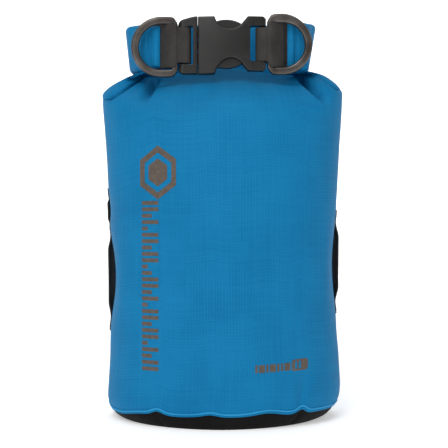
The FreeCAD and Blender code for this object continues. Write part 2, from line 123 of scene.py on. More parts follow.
# How far each ring reaches past its CAD shape, and how far above it the ring hangs.
RING_REACH = {"left": 0.0, "right": -0.8}
RING_HANG = {"left": -0.9, "right": 0.4}
# The ring's stock across its plane, here and in the CAD, and its corners beside the bar.
RING_STOCK = 4.3
RING_CAD_STOCK = 3.75
RING_CORNER = 3.2

# The hem's fold and the raised line over it: width, thickness and corner radius.
HEM_FOLD = (1.8, 0.55, 0.25)
HEM_WELT = (0.75, 0.5, 0.22)
HEM_GIRTH = 373.0
HEM_LEVEL = 7.5
BASE_OVERLAP = 1.6
INK_RISE = 0.11
INK_STEP = 1.1
BAR_HEIGHT, BAR_PITCH, DASH_GAP = 2.1, 3.5, 0.75
SEAM_HALF_WIDTH = 7.0
SEAM_RIDGE = 0.45
SEAM_STITCH_X = 5.6
STITCH_LENGTH, STITCH_GAP, STITCH_RADIUS = 2.1, 0.9, 0.2
RIPSTOP_PITCH = 0.00165

# Levels where the wall gives way to the neck, the neck itself, and the swell inside the loop.
NECK_START_FRONT = 166.0
NECK_START_BACK = 172.0
NECK_START_LEFT = 187.2
NECK_START_RIGHT = 187.6
NECK_TOP = ROLL_BOTTOM + 0.5
NECK_HALF_THICKNESS = 0.5
SWELL_HEIGHT = 5.2
HIGHEST_LIFT = 2.0

# The half axes of the oval that columns are spaced by, and how finely the body is divided.
GIRTH_X, GIRTH_Y = 66.5, 52.0
AROUND = 720
WALL_ROWS = 150
NECK_ROWS = 116
# The camera's place, which the creases are drawn from as well.
VIEWPOINT = (0.9, -630.0, 111.8)


# --- Mesh helpers -------------------------------------------------------------------------
def smoothstep(t):
    t = np.clip(t, 0.0, 1.0)
    return t * t * (3 - 2 * t)


def bell(x, centre, width):
    return np.exp(-((x - centre) / width) ** 2)


def soft_noise(point, scale, seed):
    return noise.noise(Vector((point[0] / scale + seed, point[1] / scale, point[2] / scale - seed)))


def grid_faces(rows, columns, wrap=False):
    faces = []
    for row in range(rows - 1):
        for column in range(columns if wrap else columns - 1):
            after = (column + 1) % columns
            faces.append((row * columns + column, row * columns + after,
                          (row + 1) * columns + after, (row + 1) * columns + column))
    return faces


def new_object(name, data):
    item = bpy.data.objects.new(name, data)
    bpy.context.scene.collection.objects.link(item)
    return item


def make_piece(name, points, faces, body, material, uvs=None):
    """A mesh object from points in millimetres, riding on a body."""
    mesh = bpy.data.meshes.new(name)
    mesh.from_pydata([tuple(point) for point in np.asarray(points) * MM], [], faces)
    mesh.validate()
    if uvs is not None:
        layer = mesh.uv_layers.new(name="Weave")
        corner = np.empty(len(mesh.loops), dtype=np.int32)
        mesh.loops.foreach_get("vertex_index", corner)
        layer.data.foreach_set("uv", np.asarray(uvs, dtype=np.float32)[corner].ravel())
    mesh.polygons.foreach_set("use_smooth", [True] * len(mesh.polygons))
    mesh.update()
    piece = new_object(name, mesh)
    mesh.materials.append(material)
    if body:
        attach(piece, body)
    return piece


def travel(points):
    """Distance gone at each point of a polyline, or of each column of a grid."""
    steps = np.linalg.norm(np.diff(points, axis=0), axis=-1)
    return np.concatenate([np.zeros((1, *steps.shape[1:])), np.cumsum(steps, axis=0)])


def look_up(places, known, table):
    """Every column of a table, read off at places."""
    return np.column_stack([np.interp(places, known, column) for column in np.transpose(table)])


def smooth_curve(keys, samples):
    """Points evenly spread along a Catmull-Rom curve through keys."""
    keys = np.asarray(keys, dtype=float)
    padded = np.vstack([2 * keys[0] - keys[1], keys, 2 * keys[-1] - keys[-2]])
    fine = []
    for index in range(1, len(padded) - 2):
        a, b, c, d = padded[index - 1:index + 3]
        for t in np.linspace(0, 1, 24, endpoint=False):
            fine.append(0.5 * (2 * b + (c - a) * t + (2 * a - 5 * b + 4 * c - d) * t ** 2
                               + (3 * b - a - 3 * c + d) * t ** 3))
    fine.append(keys[-1])
    fine = np.array(fine)
    length = travel(fine)
    return look_up(np.linspace(0, length[-1], samples), length, fine)


def tube_faces(count, size):
    """Faces of a tube of count rings, closed at both ends."""
    last = (count - 1) * size
    return grid_faces(count, size, wrap=True) + [
        tuple(range(size)), tuple(last + k for k in reversed(range(size)))]


def sweep(path, across, section, closed_path=False, scale=None):
    """Carry a section along a path. Section points are (along across, along the other normal)."""
    path = np.asarray(path, dtype=float)
    count = len(path)
    if closed_path:
        tangents = np.roll(path, -1, axis=0) - np.roll(path, 1, axis=0)
    else:
        tangents = np.gradient(path, axis=0)
    tangents /= np.linalg.norm(tangents, axis=1)[:, None]
    across = np.broadcast_to(np.asarray(across, dtype=float), path.shape)
    side = across - (across * tangents).sum(axis=1)[:, None] * tangents
    side /= np.linalg.norm(side, axis=1)[:, None]
    other = np.cross(tangents, side)
    points = []
    for index in range(count):
        grow = scale[index] if scale is not None else (1.0, 1.0)
        for u, v in section:
            points.append(path[index] + side[index] * u * grow[0] + other[index] * v * grow[1])
    size = len(section)
    if closed_path:
        faces = grid_faces(count + 1, size, wrap=True)
        return points, [tuple(k % len(points) for k in face) for face in faces]
    return points, tube_faces(count, size)


def arc(x, y, radius, start, end, samples):
    """Points along an arc between two angles in degrees."""
    return [(x + radius * math.cos(angle), y + radius * math.sin(angle))
            for angle in np.radians(np.linspace(start, end, samples))]


def rounded_section(width, height, radius, steps=4):
    """A rectangle with rounded corners, centred on the origin."""
    points = []
    for corner, (sx, sy) in enumerate(((1, 1), (-1, 1), (-1, -1), (1, -1))):
        points += arc(sx * (width / 2 - radius), sy * (height / 2 - radius), radius,
                      corner * 90, corner * 90 + 90, steps + 1)
    return points


def join_parts(parts):
    """One mesh's points and faces from those of several, and their UVs if they have them."""
    points, faces, uvs = [], [], []
    for part_points, part_faces, *part_uvs in parts:
        faces += [tuple(len(points) + k for k in face) for face in part_faces]
        points += list(part_points)
        uvs += list(*part_uvs)
    return points, faces, uvs


def surface_lookup(pieces):
    """A search tree over meshes that share the bag's frame."""
    parts = [([vertex.co.copy() for vertex in piece.data.vertices],
              [polygon.vertices for polygon in piece.data.polygons]) for piece in pieces]
    return BVHTree.FromPolygons(*join_parts(parts)[:2])


def laid_points(tree, places, direction, rise):
    """Places moved onto the surface that is met first when looking along a direction."""
    laid = []
    way = Vector(direction)
    for place in places:
        hit = tree.ray_cast(Vector(place) * MM - way * 0.2, way)[0]
        if hit is not None:
            laid.append(np.array(hit) / MM - np.array(direction) * rise)
    return laid


def thread_runs(name, runs, radius, body, material):
    """Thread laid along runs, each given as its points and a direction across it."""
    section = arc(0.0, 0.0, radius, 0, 300, 6)
    points, faces, _ = join_parts([sweep(run, across, section) for run, across in runs])
    return make_piece(name, points, faces, body, material)


# --- Materials ----------------------------------------------------------------------------
class Shader:
    """A Principled material with short calls for the nodes that are used most."""

    def __init__(self, name, colour, roughness, metallic=0.0, specular=0.5):
        self.material = bpy.data.materials.new(name)
        self.material.use_nodes = True
        self.nodes = self.material.node_tree.nodes
        self.links = self.material.node_tree.links
        self.shader = self.nodes["Principled BSDF"]
        self.set("Base Color", (*colour, 1.0))
        self.set("Roughness", roughness)
        self.set("Metallic", metallic)
        self.set("Specular IOR Level", specular)

    def feed(self, socket, value):
        """Give a socket a link or a plain value."""
        if isinstance(value, bpy.types.NodeSocket):
            self.links.new(value, socket)
        else:
            socket.default_value = value

    def set(self, name, value):
        self.feed(self.shader.inputs[name], value)

    def node(self, kind, **inputs):
        node = self.nodes.new(kind)
        for name, value in inputs.items():
            self.feed(node.inputs[name.replace("_", " ")], value)
        return node

    def math(self, operation, *values):
        node = self.nodes.new("ShaderNodeMath")
        node.operation = operation
        for socket, value in zip(node.inputs, values):
            self.feed(socket, value)
        return node.outputs[0]

    def weigh(self, *pairs):
        """The sum of values times their weights."""
        total = None
        for value, weight in pairs:
            part = self.math("MULTIPLY", value, weight)
            total = part if total is None else self.math("ADD", total, part)
        return total

    def place(self):
        return self.node("ShaderNodeTexCoord").outputs["Object"]

    def weave_place(self):
        node = self.nodes.new("ShaderNodeUVMap")
        node.uv_map = "Weave"
        return self.node("ShaderNodeSeparateXYZ", Vector=node.outputs["UV"]).outputs

    def noise(self, scale, detail, vector=None):
        return self.node("ShaderNodeTexNoise", Vector=vector or self.place(), Scale=scale,
                         Detail=detail).outputs["Fac"]

    def streaks(self, place, across, along, seed):
        """Slubs in the yarn: noise drawn out along one direction of the weave."""
        spot = self.node("ShaderNodeCombineXYZ", X=self.math("MULTIPLY", place["X"], across),
                         Y=self.math("MULTIPLY", place["Y"], along), Z=seed)
        return self.noise(1.0, 1.0, vector=spot.outputs[0])

    def ramp(self, value, low, high, start=0.3, end=0.7):
        node = self.node("ShaderNodeValToRGB", Fac=value)
        node.color_ramp.elements[0].position = start
        node.color_ramp.elements[1].position = end
        node.color_ramp.elements[0].color = (*low, 1.0)
        node.color_ramp.elements[1].color = (*high, 1.0)
        return node.outputs["Color"]

    def span(self, value, low, high):
        """Stretch a 0 to 1 value over low to high."""
        return self.math("ADD", self.math("MULTIPLY", value, high - low), low)

    def ridges(self, place, pitch, sharpness):
        """Rows of narrow ridges, one each pitch metres."""
        phase = self.math("MULTIPLY", place, math.pi / pitch)
        wave = self.math("ABSOLUTE", self.math("COSINE", phase))
        return self.math("POWER", wave, sharpness)

    def bump(self, height, distance):
        node = self.node("ShaderNodeBump", Height=height, Distance=distance)
        self.set("Normal", node.outputs["Normal"])


def ripstop_material(name, dark, light, roughness, sheen):
    """Coated plain weave with a ripstop grid of thicker threads."""
    shader = Shader(name, light, roughness, specular=0.05)
    place = shader.weave_place()
    blotch = shader.noise(38.0, 4.0)
    thread = shader.noise(900.0, 2.0)
    uneven = shader.span(shader.noise(26.0, 3.0), -0.7, 2.3)
    other = shader.span(shader.noise(34.0, 3.0), -0.9, 2.3)
    across = shader.math("MULTIPLY", shader.ridges(place["X"], RIPSTOP_PITCH, 9.0), uneven)
    along = shader.math("MULTIPLY", shader.ridges(place["Y"], RIPSTOP_PITCH, 9.0), other)
    grid = shader.math("MAXIMUM", across, along)
    fine_across = shader.ridges(place["X"], RIPSTOP_PITCH / 4, 1.0)
    fine_along = shader.ridges(place["Y"], RIPSTOP_PITCH / 4, 1.0)
    fine = shader.math("MULTIPLY", fine_across, fine_along)
    slubs = shader.math("ADD", shader.streaks(place, 620.0, 18.0, 1.0),
                        shader.streaks(place, 18.0, 620.0, 4.0))
    tone = shader.weigh((grid, 0.16), (thread, 0.2), (slubs, 0.24), (blotch, 0.45))
    shader.set("Base Color", shader.ramp(tone, dark, light, 0.30, 0.72))
    shader.set("Roughness", shader.span(blotch, roughness - 0.07, roughness + 0.07))
    relief = shader.weigh((grid, 0.5), (fine, 0.35), (slubs, 0.8))
    shader.bump(relief, 0.00009)
    shader.set("Sheen Weight", sheen)
    shader.set("Sheen Roughness", 0.4)
    return shader.material


def grained_material(name, dark, light, roughness, grain, relief, ends=(0.35, 0.65),
                     cloud=None, share=0.0, spread=0.08, **settings):
    """A surface with a fine grain in relief. Its colour runs from dark to light by the grain,
    or for a share by a slower cloud, which then spreads the roughness as well. Grain and cloud
    are given as the noise's scale and detail."""
    shader = Shader(name, light, roughness, **settings)
    tone = fine = shader.noise(*grain)
    if cloud:
        slow = shader.noise(*cloud)
        tone = shader.weigh((fine, 1.0 - share), (slow, share))
        shader.set("Roughness", shader.span(slow, roughness - spread, roughness + spread))
    shader.set("Base Color", shader.ramp(tone, dark, light, *ends))
    shader.bump(fine, relief)
    return shader.material


def rubber_material(name, dark, light, roughness):
    """Rubber-coated webbing: matt, with a fine pebbled grain."""
    return grained_material(name, dark, light, roughness, (2600.0, 2.0), 0.00012,
                            cloud=(120.0, 4.0), share=0.5, specular=0.18)


def thread_material(name, colour):
    """Twisted thread, a little lighter along its ridges."""
    return grained_material(name, tuple(0.7 * value for value in colour), colour, 0.6,
                            (4200.0, 1.0), 0.0001, specular=0.3)


BLUE = ripstop_material("body_fabric", (0.003, 0.130, 0.305), (0.008, 0.194, 0.418), 0.55, 0.0)
# The hem's welt gets a lighter copy of the body's blue: a painted highlight along its raised edge.
HEM_HIGHLIGHT_BLUE = ripstop_material("hem_painted_highlight_fabric", (0.012, 0.24, 0.49), (0.04, 0.36, 0.68), 0.5, 0.02)
BLACK = ripstop_material("base_fabric", (0.0045, 0.004, 0.004), (0.011, 0.010, 0.010), 0.6, 0.0)
STRAP = rubber_material("strap_rubber", (0.025, 0.023, 0.022), (0.052, 0.048, 0.045), 0.62)
LASH = rubber_material("lash_rubber", (0.014, 0.013, 0.013), (0.034, 0.030, 0.028), 0.6)
STRIP = rubber_material("closure_strip", (0.015, 0.015, 0.015), (0.035, 0.035, 0.035), 0.7)
# Moulded acetal with a spark-eroded texture, a little polished by handling.
BUCKLE = grained_material("buckle_plastic", (0.003, 0.0027, 0.0025), (0.012, 0.011, 0.010), 0.32,
                          (3800.0, 2.0), 0.00010, cloud=(160.0, 4.0), share=0.4, spread=0.06,
                          specular=0.45)
# Dark satin-plated metal with faint cloudy tarnish.
METAL = grained_material("ring_metal", (0.072, 0.062, 0.056), (0.135, 0.122, 0.112), 0.34,
                         (2600.0, 2.0), 0.00004, (0.3, 0.7), cloud=(150.0, 5.0), share=1.0,
                         metallic=0.85)
# Screen-printed ink: dark taupe, thin, a little uneven over the weave.
INK = grained_material("print_ink", (0.080, 0.064, 0.052), (0.122, 0.098, 0.078), 0.6,
                       (500.0, 3.0), 0.00004, (0.3, 0.7), specular=0.3)
DARK_THREAD = thread_material("dark_thread", (0.020, 0.019, 0.018))
BLUE_THREAD = thread_material("blue_thread", (0.03, 0.22, 0.46))
# Welded seam tape: grey film with a faint press pattern.
TAPE = grained_material("seam_tape", (0.30, 0.32, 0.35), (0.40, 0.42, 0.45), 0.35, (700.0, 2.0),
                        0.00005, (0.3, 0.7))


# --- The closure line in plan -----------------------------------------------------------------
def closure_line(end_angle, samples):
    """Right half of the closure line, from the back centre to end_angle: points, normals and
    length."""
    corner = (CORNER_X, BACK_Y - CORNER_RADIUS)
    bend = CORNER_X + CORNER_RADIUS * math.pi / 2
    total = bend + ARM_RADIUS * math.radians(end_angle)
    points = []
    normals = []
    for s in np.linspace(0, total, samples):
        if s < CORNER_X:
            points.append((s, BACK_Y))
            normals.append((0.0, 1.0))
            continue
        if s < bend:
            centre, radius = corner, CORNER_RADIUS
            angle = math.pi / 2 - (s - CORNER_X) / radius
        else:
            centre, radius = ARM_CENTRE, ARM_RADIUS
            angle = -(s - bend) / radius
        normal = (math.cos(angle), math.sin(angle))
        points.append((centre[0] + radius * normal[0], centre[1] + radius * normal[1]))
        normals.append(normal)
    return np.array(points), np.array(normals), total


# --- Bag body -----------------------------------------------------------------------------
def hem_level(x, y):
    """Height of the hem's lower edge, which rides up and down round the base."""
    front = (2.0 * bell(x, -36.0, 4.0) + 1.3 * bell(x, -7.0, 5.5) + 1.7 * bell(x, 24.0, 9.0)
             + 2.4 * bell(x, 43.0, 3.4) - 2.6 * bell(x, -61.0, 11.0) - 0.3 * bell(x, -24.0, 6.0))
    back = (1.6 * bell(x, 31.0, 4.0) + 1.1 * bell(x, -3.0, 7.0) + 1.9 * bell(x, -40.0, 5.0)
            - 0.9 * bell(x, 14.0, 6.0))
    return HEM_LEVEL + np.where(y < 0, front * smoothstep(-y / 12.0), back * smoothstep(y / 12.0))


def oval_point(angles):
    return -GIRTH_X * np.sin(angles), GIRTH_Y * np.cos(angles)


def oval_angles(count):
    """Angles round an oval, from the back by the left side, spaced evenly in arc length."""
    dense = np.linspace(0, 2 * math.pi, 4001)
    length = travel(np.column_stack(oval_point(dense)))
    return np.interp(np.linspace(0, length[-1], count, endpoint=False), length, dense), length[-1]


def neck_line(angles):
    """The pinched neck in plan for each column of the body: out along the back of the closure
    line to its tip, and home along its inner side."""
    points, normals, total = closure_line(INNER_WRAP_END + 3.0, 400)
    along = np.linspace(0, total, 400)
    neck = np.zeros((len(angles), 2))
    quarter = (np.asarray(angles) % (2 * math.pi)) / (math.pi / 2)
    for column, q in enumerate(quarter):
        side = "left" if q < 2 else "right"
        fraction = q if q < 2 else 4 - q
        outer = fraction <= 1
        reach = (fraction if outer else 2 - fraction) * total
        taper = math.sqrt(max(0.0, 1 - (reach / total) ** 8))
        offset = NECK_HALF_THICKNESS * taper * (1 if outer else -1)
        px, py = look_up(reach, along, points + offset * normals)[0]
        neck[column] = (roll_shift(SIDES[side] * px, py, ROLL_BOTTOM, side), py)
    return neck


def body_grid():
    """Points of the undisturbed body, rows from the hem up to the neck."""
    angles, girth = oval_angles(AROUND)
    table = smooth_curve(OVALS, 600)
    levels = table[:, 0]
    neck = neck_line(angles)
    sideways = np.abs(np.sin(angles))
    front = np.cos(angles) < 0
    start = np.where(front, NECK_START_FRONT, NECK_START_BACK)
    side_start = np.where(np.sin(angles) > 0, NECK_START_LEFT, NECK_START_RIGHT)
    start = start + (side_start - start) * sideways ** 5
    hem = hem_level(*oval_point(angles))
    rows = []
    spread = np.linspace(0, 1, WALL_ROWS)
    spread = spread - 0.12 * np.sin(2 * math.pi * spread) / math.pi
    for fraction in spread:
        z = hem + (start - hem) * fraction
        width, depth, setback, drift = look_up(z, levels, table[:, 1:]).T
        rows.append(np.column_stack([drift - width * np.sin(angles),
                                     setback + depth * np.cos(angles), z]))
    base = rows[-1]
    # The left shoulder falls away in a straight slope, and the right one is rounder.
    slope = sideways ** 2 * np.where(np.sin(angles) > 0, 1.0, -0.18)
    for step in range(1, NECK_ROWS + 1):
        theta = math.pi / 2 * step / NECK_ROWS
        inward = (1 - math.cos(theta)) * (1 + slope * math.cos(theta))
        plan = base[:, :2] + (neck - base[:, :2]) * inward[:, None]
        z = base[:, 2] + (NECK_TOP - base[:, 2]) * math.sin(theta)
        # Inside the closure's loop the filled bag swells up behind the buckle.
        swell = SWELL_HEIGHT * bell(plan[:, 1], -3.0, 10.5) * bell(plan[:, 0], 0.0, 27.0)
        rows.append(np.column_stack([plan, z + np.where(front, swell, 0.0)]))
    return np.array(rows), angles, girth


def grid_normals(grid):
    """Outward unit normals of a grid that is closed round its columns."""
    around = np.roll(grid, -1, axis=1) - np.roll(grid, 1, axis=1)
    up = np.gradient(grid, axis=0)
    normal = np.cross(up, around)
    length = np.linalg.norm(normal, axis=2)[:, :, None]
    normal = normal / np.maximum(length, 1e-9)
    outward = normal[:, :, 0] * grid[:, :, 0] + normal[:, :, 1] * grid[:, :, 1]
    return normal * np.sign(np.median(outward))


def seen_from(grid, back):
    """Where grid points appear on the middle plane, looking from the front or the back."""
    eye = np.array(VIEWPOINT) * (1, -1 if back else 1, 1)
    share = eye[1] / (eye[1] - grid[:, :, 1])
    return (eye[0] + (grid[:, :, 0] - eye[0]) * share,
            eye[2] + (grid[:, :, 2] - eye[2]) * share)


@dataclass
class Crease:
    """A valley in the fabric, drawn from one point of the front or back view to another. The
    width is given at the start, and at the end above and below the line. The lip is how far
    the fabric above the line stands out, and the lap how far it hangs down over the valley.
    The swell is the share of the length over which it begins, and over which it ends."""

    start: tuple
    end: tuple
    depth: float
    width: tuple
    lip: float = 0.0
    lap: float = 0.0
    back: bool = False
    swell: tuple = (0.15, 0.45)

    def moves(self, grid, normals):
        """Every grid point's displacement along its normal, and its slide across the line."""
        x, z = seen_from(grid, self.back)
        toward = normals[:, :, 1] * (1 if self.back else -1)
        facing = smoothstep((toward + 0.02) / 0.12)
        run = np.array(self.end) - np.array(self.start)
        length = np.linalg.norm(run)
        run = run / length
        t = ((x - self.start[0]) * run[0] + (z - self.start[1]) * run[1]) / length
        off = (z - self.start[1]) * run[0] - (x - self.start[0]) * run[1]
        off = off * np.sign(run[0])
        narrow, upper, lower = self.width
        growth = smoothstep(t)
        width = narrow + (np.where(off > 0, upper, lower) - narrow) * growth
        rise, fall = self.swell
        strength = smoothstep((t + rise) / (2 * rise)) * smoothstep((1 + rise - t) / fall)
        valley = -self.depth * strength * np.exp(-(np.abs(off) / width) ** 2.3)
        flap = strength * smoothstep((off + 0.3 * width) / width)
        flap = flap * np.exp(-(np.maximum(off, 0.0) / (2.2 + width)) ** 2)
        down = np.array([run[1], 0.0, -run[0]]) * np.sign(run[0])
        slide = (facing * self.lap * flap)[:, :, None] * down
        return facing * (valley + self.lip * flap), slide


CREASES = [
    Crease((-49.0, 197.2), (-69.0, 185.4), 6.2, (0.9, 1.2, 1.5), lip=1.8, lap=2.6,
           swell=(0.12, 0.28)),
    Crease((-38.5, 198.0), (-47.4, 184.0), 5.6, (1.8, 3.0, 2.6), lip=0.2, swell=(0.16, 0.9)),
    Crease((44.6, 199.0), (61.0, 183.8), 9.0, (1.3, 4.6, 1.2), lip=0.3, swell=(0.1, 0.34)),
    Crease((59.5, 197.0), (69.2, 190.6), 3.0, (0.7, 0.8, 1.0), lip=0.9, lap=1.8,
           swell=(0.12, 0.3)),
    Crease((24.0, 195.0), (33.0, 178.0), 0.8, (4.0, 9.0, 9.0), swell=(0.2, 1.0)),
    Crease((-20.0, 195.0), (-25.0, 172.0), 0.7, (4.0, 9.0, 9.0), swell=(0.2, 1.0)),
    Crease((50.0, 24.0), (46.0, 6.0), 1.1, (4.0, 2.0, 2.0), swell=(0.3, 0.4)),
    Crease((-37.0, 18.0), (-36.0, 5.0), 0.9, (3.5, 1.8, 1.8), swell=(0.3, 0.4)),
    Crease((-36.0, 197.5), (-62.0, 182.0), 4.2, (1.0, 3.0, 2.0), lip=1.0, back=True,
           swell=(0.1, 0.8)),
    Crease((38.0, 197.5), (63.0, 185.0), 4.6, (0.9, 2.4, 1.6), lip=1.0, back=True,
           swell=(0.1, 0.6)),
    Crease((14.0, 198.0), (27.0, 174.0), 1.8, (2.4, 6.0, 6.0), back=True, swell=(0.2, 1.0)),
    Crease((-12.0, 198.0), (-20.0, 178.0), 1.5, (2.4, 6.0, 6.0), back=True, swell=(0.2, 1.0)),
    Crease((33.0, 17.0), (31.0, 6.0), 0.8, (3.5, 1.8, 1.8), back=True, swell=(0.3, 0.4)),
    Crease((-41.0, 20.0), (-40.0, 6.0), 0.9, (3.5, 1.8, 1.8), back=True, swell=(0.3, 0.4)),
]
# Where the sewn strip holds the bag's sides in: side, lowest and highest level, depth.
PULLS = [(-1, 50.0, 114.0, 3.2), (-1, 108.0, 132.0, 0.9), (1, 58.0, 120.0, 1.7),
         (1, 36.0, 140.0, 0.7)]
# Gathers that run down from the roll round the back and sides: place round the girth from the
# back seam, depth and width.
GATHERS = [(38.0, 1.0, 2.6), (52.0, 1.8, 2.4), (65.0, 2.6, 2.2), (79.0, 2.2, 2.6),
           (294.0, 2.4, 2.4), (308.0, 2.6, 2.0), (321.0, 1.6, 2.6), (336.0, 1.2, 2.4)]


def side_pull(x, y, z):
    """How far the strips hold the side in at a point: always zero or less."""
    near = smoothstep((y + 26.0) / 17.0) * smoothstep((42.0 - y) / 15.0)
    total = 0.0
    for side, low, high, depth in PULLS:
        t = np.clip((z - low) / (high - low), 0, 1)
        total = total - depth * np.sin(math.pi * t) ** 1.4 * np.where(x * side > 0, near, 0.0)
    return total


def body_shape():
    """The body with its creases, hem puckers and the slow unevenness of a filled bag."""
    grid, angles, girth = body_grid()
    across = np.broadcast_to(np.linspace(0, girth, AROUND, endpoint=False), grid.shape[:2])
    along = travel(grid)
    rows, columns = grid.shape[:2]
    normals = grid_normals(grid)
    lift = side_pull(grid[:, :, 0], grid[:, :, 1], grid[:, :, 2])
    slide = np.zeros(grid.shape)
    for crease in CREASES:
        rise, shift = crease.moves(grid, normals)
        lift = lift + rise
        slide = slide + shift
    high = smoothstep((grid[:, :, 2] - 170.0) / 22.0)
    for place, depth, width in GATHERS:
        lift = lift - depth * high * bell(across, place, width + 2.5 * (1 - high))
    for row in range(rows):
        for column in range(columns):
            point = grid[row, column]
            near_top = smoothstep((point[2] - 150) / 45)
            near_hem = smoothstep((26 - point[2]) / 22)
            away = smoothstep((62.0 - abs(point[0])) / 10)
            pucker = 0.25 * near_top + 0.35 * near_hem
            lift[row, column] += (0.6 * (0.3 + 0.7 * away) * soft_noise(point, 46.0, 3.1)
                                  + pucker * soft_noise(point, 15.0, 7.7)
                                  + 0.08 * soft_noise(point, 7.0, 1.3))
    below_neck = smoothstep((NECK_TOP - 0.3 - grid[:, :, 2]) / 3.4)
    lift = lift * below_neck
    seam = np.minimum(across, girth - across)
    lift = lift + SEAM_RIDGE * smoothstep((SEAM_HALF_WIDTH - seam) / 0.8)
    lift = np.minimum(lift, HIGHEST_LIFT)
    shaped = grid + normals * lift[:, :, None] + slide * below_neck[:, :, None]
    return shaped, across, along, girth


def build_body():
    """The blue body in two halves that part on the middle plane. Both halves carry the whole body's
    normals."""
    grid, across, along, girth = body_shape()
    normals = grid_normals(grid)
    middle = AROUND // 2
    spans = {"left": np.arange(0, middle + 1), "right": np.arange(middle, AROUND + 1)}
    rows = grid.shape[0]
    halves = {}
    for side, span in spans.items():
        columns = span % AROUND
        points = grid[:, columns].reshape(-1, 3)
        u = np.where((span == AROUND)[None, :], girth, across[:, columns])
        uvs = np.column_stack([u.ravel(), along[:, columns].ravel()]) * MM
        faces = grid_faces(rows, len(span))
        piece = make_piece("body_fabric_" + side, points, faces, None, BLUE, uvs)
        piece.data.normals_split_custom_set_from_vertices(
            [tuple(normal) for normal in normals[:, columns].reshape(-1, 3)])
        halves[side] = piece
    return grid, halves


def blend_to_arm(piece):
    """Bake the piece's transform into its mesh."""
    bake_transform(piece)


def build_base():
    """The dark base: an upturned rim tucked under the hem, and a flat bottom."""
    angles, girth = oval_angles(AROUND)
    table = smooth_curve(OVALS[:8], 200)
    x = oval_point(angles)[0]
    hem = hem_level(*oval_point(angles)) + BASE_OVERLAP
    rows = []
    folds = (0.7 * bell(x, -36.5, 1.6) + 0.8 * bell(x, 43.5, 1.5)) * (np.cos(angles) < 0)
    folds += (0.7 * bell(x, 31.0, 1.6) + 0.7 * bell(x, -40.0, 1.6)) * (np.cos(angles) > 0)
    for fraction in np.linspace(1, 0, 14):
        z = hem * fraction
        inset = 0.4 + folds * math.sin(math.pi * min(1.0, fraction * 1.1)) * 1.1
        width, depth, _, drift = look_up(z, table[:, 0], table[:, 1:]).T
        point = 1 + 0.085 * (1 - smoothstep(z / 6.0))
        rows.append(np.column_stack([
            drift - (width - inset) * np.sign(np.sin(angles)) * np.abs(np.sin(angles)) ** point,
            (depth - inset) * np.sign(np.cos(angles)) * np.abs(np.cos(angles)) ** point, z]))
    edge = rows[-1]
    for fraction in np.linspace(0.96, 0.02, 16):
        ring = edge.copy()
        ring[:, :2] *= fraction
        ring[:, 2] = 0.12 * (1 - fraction)
        rows.append(ring)
    grid = np.array(rows)
    for row in range(1, 13):
        for column in range(AROUND):
            grid[row, column, :2] *= 1 + 0.35 * soft_noise(grid[row, column], 9.0, 5.5) / 60.0
    count = grid.shape[0]
    points = np.vstack([grid.reshape(-1, 3), [[0.0, 0.0, 0.12]]])
    faces = grid_faces(count, AROUND, wrap=True)
    centre = count * AROUND
    last = (count - 1) * AROUND
    faces += [(last + k, last + (k + 1) % AROUND, centre) for k in range(AROUND)]
    steps = travel(grid)
    u = np.broadcast_to(np.linspace(0, girth, AROUND, endpoint=False), steps.shape)
    uvs = np.vstack([np.column_stack([u.ravel(), steps.ravel()]), [[0.0, 0.0]]]) * MM
    piece = make_piece("base_fabric", points, faces, "bag", BLACK, uvs)
    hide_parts("base_panel")


def build_hem(grid):
    """The hem: a folded band along the body's lower edge, with a raised upper edge drawn in a
    lighter blue that is a painted highlight.
    """
    ring = grid[0].copy()
    above = grid[3] - grid[0]
    above /= np.linalg.norm(above, axis=1)[:, None]
    outward = grid_normals(grid)[1]
    path = ring + above * 0.6 + outward * 0.02
    band, faces = sweep(path, above, rounded_section(*HEM_FOLD), closed_path=True)
    height = 1.25 + 0.5 * smoothstep((ring[:, 0] - 5.0) / 40.0)
    welt, welt_faces = sweep(ring + above * height[:, None] + outward * 0.26, above,
                             rounded_section(*HEM_WELT), closed_path=True)
    turn = np.repeat(np.linspace(0, HEM_GIRTH, AROUND, endpoint=False), len(band) // AROUND)
    uvs = np.column_stack([turn, np.array(band)[:, 2]]) * MM
    piece = make_piece("base_hem_fold", band, faces, "bag", BLUE, uvs)
    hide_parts("base_hem")
    # The welt's lighter blue is a painted highlight along the hem's raised edge.
    make_piece("base_hem_welt", welt, welt_faces, "bag", HEM_HIGHLIGHT_BLUE, uvs)


def build_seam_stitches(tree, side):
    """A row of short rounded stitches down one edge of the back seam, each laid on the
    surface under it."""
    places = [(SIDES[side] * SEAM_STITCH_X, BACK_Y + 60.0, z) for z in np.linspace(12.0, 176.0, 90)]
    path = np.array(laid_points(tree, places, (0, -1, 0), 0.0))
    gone = travel(path)
    arch = np.array([-0.9, 0.35, 0.6, 0.35, -0.9]) * STITCH_RADIUS
    runs = []
    for place in np.arange(0.0, gone[-1] - STITCH_LENGTH, STITCH_LENGTH + STITCH_GAP):
        run = look_up(np.linspace(place, place + STITCH_LENGTH, 5), gone, path)
        out = np.array(tree.find_nearest(Vector(run[2] * MM))[1])
        runs.append((run + arch[:, None] * out, out))
    thread_runs("seam_stitches_" + side, runs, STITCH_RADIUS, "bag", BLUE_THREAD)


# --- Prints -------------------------------------------------------------------------------
def decal(name, tree, cells):
    """Ink laid on the front of the bag: each cell is a row-by-row grid of (x, z) points."""
    parts = []
    for cell in cells:
        points = []
        for x, z in cell.reshape(-1, 2):
            hit, normal, _, _ = tree.ray_cast(Vector((x * MM, -0.2, z * MM)), Vector((0, 1, 0)))
            lift = Vector(normal) * (-1 if normal.y > 0 else 1) * INK_RISE * MM
            points.append(np.array(hit + lift) / MM)
        parts.append((points, grid_faces(*cell.shape[:2])))
    points, faces, _ = join_parts(parts)
    make_piece(name, points, faces, "bag", INK)


